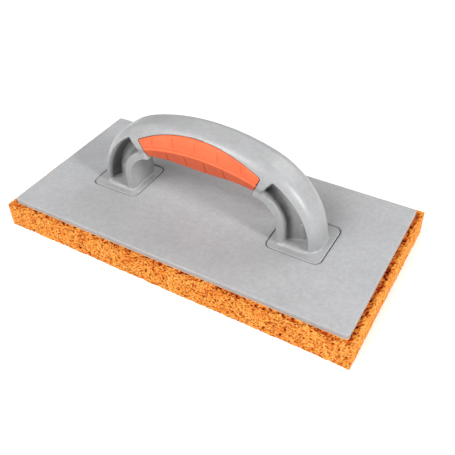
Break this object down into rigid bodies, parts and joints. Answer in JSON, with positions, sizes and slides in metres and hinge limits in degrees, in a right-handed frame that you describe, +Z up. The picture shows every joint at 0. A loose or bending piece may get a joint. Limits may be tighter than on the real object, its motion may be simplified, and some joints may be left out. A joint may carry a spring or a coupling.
{
  "type": "sponge float",
  "caption": "Hand float with a rigid grey plate, a hollow-legged bow handle with a soft grip insert, and an open-pore sponge pad for finishing wet mortar and grout.",
  "frame": {"origin": "centre of the sponge's working face, on the surface that the float stands on", "axes": "+X along the length of the float, +Y to its back, +Z up from the sponge through the handle"},
  "size_m": [0.28, 0.14, 0.0913],
  "materials": {
    "sponge": "coarse open-pore foam, matt",
    "adhesive": "clear yellowish film",
    "plate_plastic": "satin moulded plastic with a fine grain",
    "handle_plastic": "satin moulded plastic with a soft gloss",
    "soft_grip": "matt soft-touch rubber",
    "screw_steel": "zinc-plated"
  },
  "bodies": {
    "root": {"sponge_pad": "sponge", "adhesive_layer": "adhesive", "base_plate": "plate_plastic", "handle_body": "handle_plastic", "grip_insert": "soft_grip", "handle_screws": "screw_steel"}
  },
  "joints": []
}
